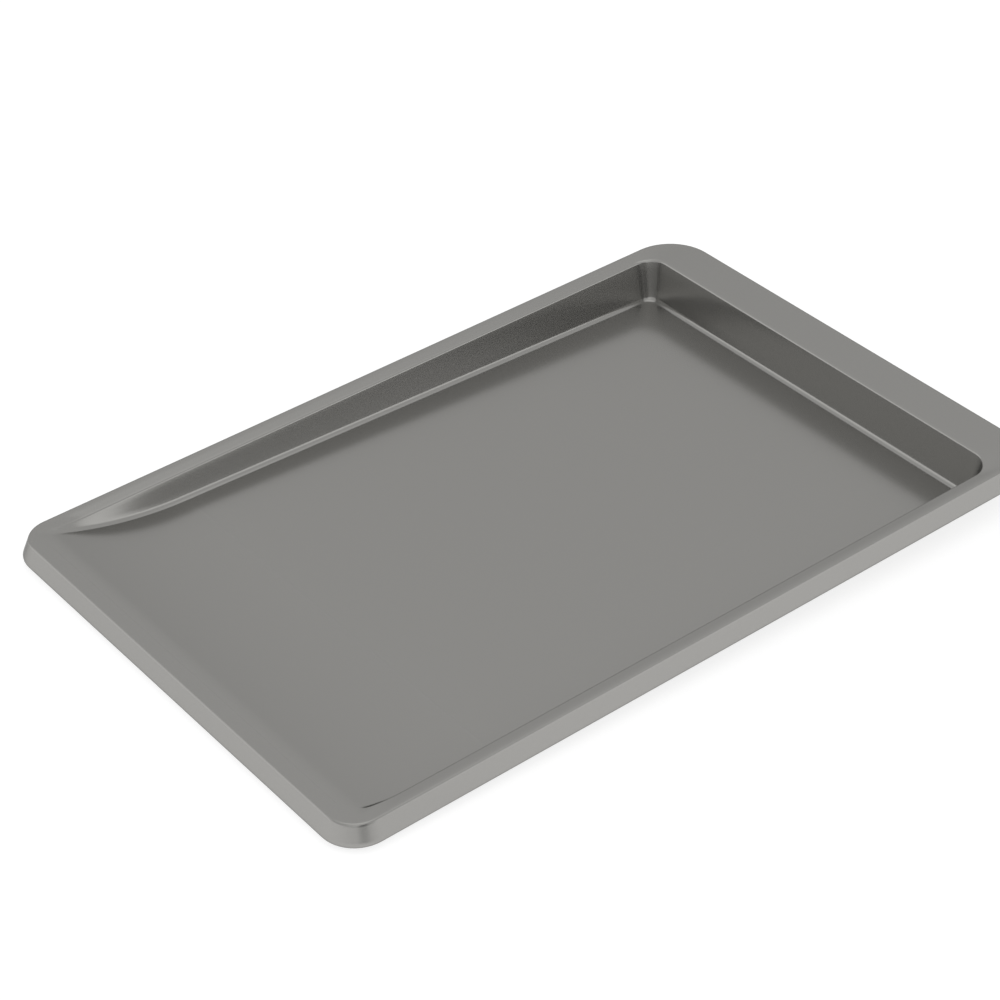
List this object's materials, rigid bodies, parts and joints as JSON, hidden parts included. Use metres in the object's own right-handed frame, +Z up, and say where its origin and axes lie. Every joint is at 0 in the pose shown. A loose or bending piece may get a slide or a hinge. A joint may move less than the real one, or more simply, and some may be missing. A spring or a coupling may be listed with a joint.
{
  "type": "cookie sheet",
  "caption": "Shallow rectangular steel baking tray with one ramped open end, a walled end with a wide flat rim to hold it by, and a flared skirt with a wired rolled edge.",
  "frame": {"origin": "on the table under the middle of the sheet's bounding box; the underside of the floor lies at z = 0", "axes": "+X along the sheet from the open, ramped end to the handle end; +Y across it; +Z up"},
  "size_m": [0.48, 0.3108, 0.0283],
  "materials": {
    "coated_steel": "satin grey non-stick coating",
    "edge_wire": "drawn steel wire"
  },
  "bodies": {
    "root": {"pressed_sheet": "coated_steel", "rim_wire": "edge_wire"}
  },
  "joints": []
}
